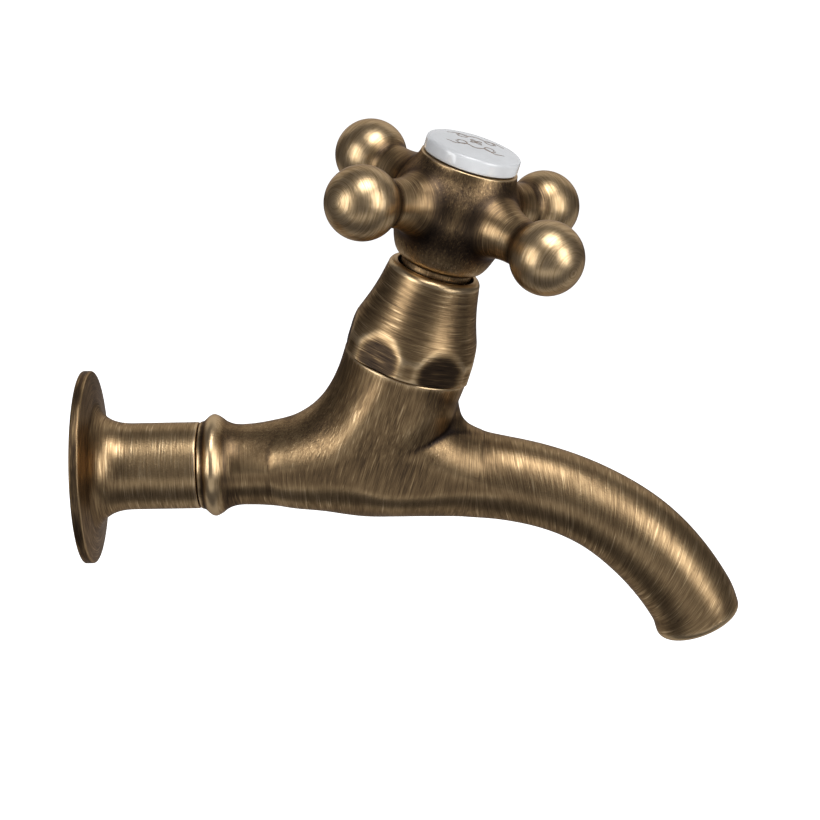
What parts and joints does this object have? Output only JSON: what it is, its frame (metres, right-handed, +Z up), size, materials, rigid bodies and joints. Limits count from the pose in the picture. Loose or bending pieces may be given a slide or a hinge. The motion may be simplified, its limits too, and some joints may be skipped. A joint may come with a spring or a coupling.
{
  "type": "hose bib",
  "caption": "Wall-mounted brass bib tap with a round wall plate, curved spout, tilted bell-covered valve and a ball-ended cross handle with a white index button.",
  "frame": {"origin": "centre of the wall plate's back face, on the inlet axis (mount wall_inlet)", "axes": "+X away from the wall along the inlet, towards the spout; +Z up; Y = 0 is the tap's mirror plane"},
  "size_m": [0.152, 0.0578, 0.121],
  "materials": {
    "antique_brass": "brushed brass with a dark brown patina, worn lighter on edges",
    "machined_brass": "plain turned brass",
    "black_rubber": "matt black rubber",
    "red_fibre": "vulcanised fibre sheet",
    "white_packing": "pressed PTFE packing",
    "zinc_steel": "bright zinc plate",
    "porcelain": "glazed white porcelain with thin brown line ornament"
  },
  "bodies": {
    "root": {"wall_flange": "antique_brass", "inlet_gasket": "red_fibre", "sleeve_o_ring": "black_rubber", "tap_body": "antique_brass", "valve_seat": "machined_brass", "headwork_washer": "red_fibre", "headwork_body": "machined_brass", "gland_packing": "white_packing", "gland_follower": "machined_brass", "gland_nut": "machined_brass", "cover_o_ring": "black_rubber", "bell_cover": "antique_brass"},
    "valve": {"jumper": "machined_brass", "seat_washer": "black_rubber", "washer_nut": "machined_brass"},
    "handle": {"spindle": "machined_brass", "cross_handle": "antique_brass", "spring_washer": "zinc_steel", "handle_screw": "zinc_steel", "index_cup": "antique_brass", "index_o_ring": "black_rubber", "index_disc": "porcelain"}
  },
  "joints": [
    {"name": "jumper_lift", "type": "slide", "parent": "root", "child": "valve", "axis": [0.3173, 0, 0.9483], "range_m": [0, 0.005]},
    {"name": "handle_turn", "type": "hinge", "parent": "valve", "child": "handle", "pos_m": [0.07538, 0, 0.02444], "axis": [0.3173, 0, 0.9483], "range_deg": [0, 720]}
  ],
  "couplings": [
    {"joint": "jumper_lift", "follows": "handle_turn", "m_per_rad": 0.00039788}
  ]
}
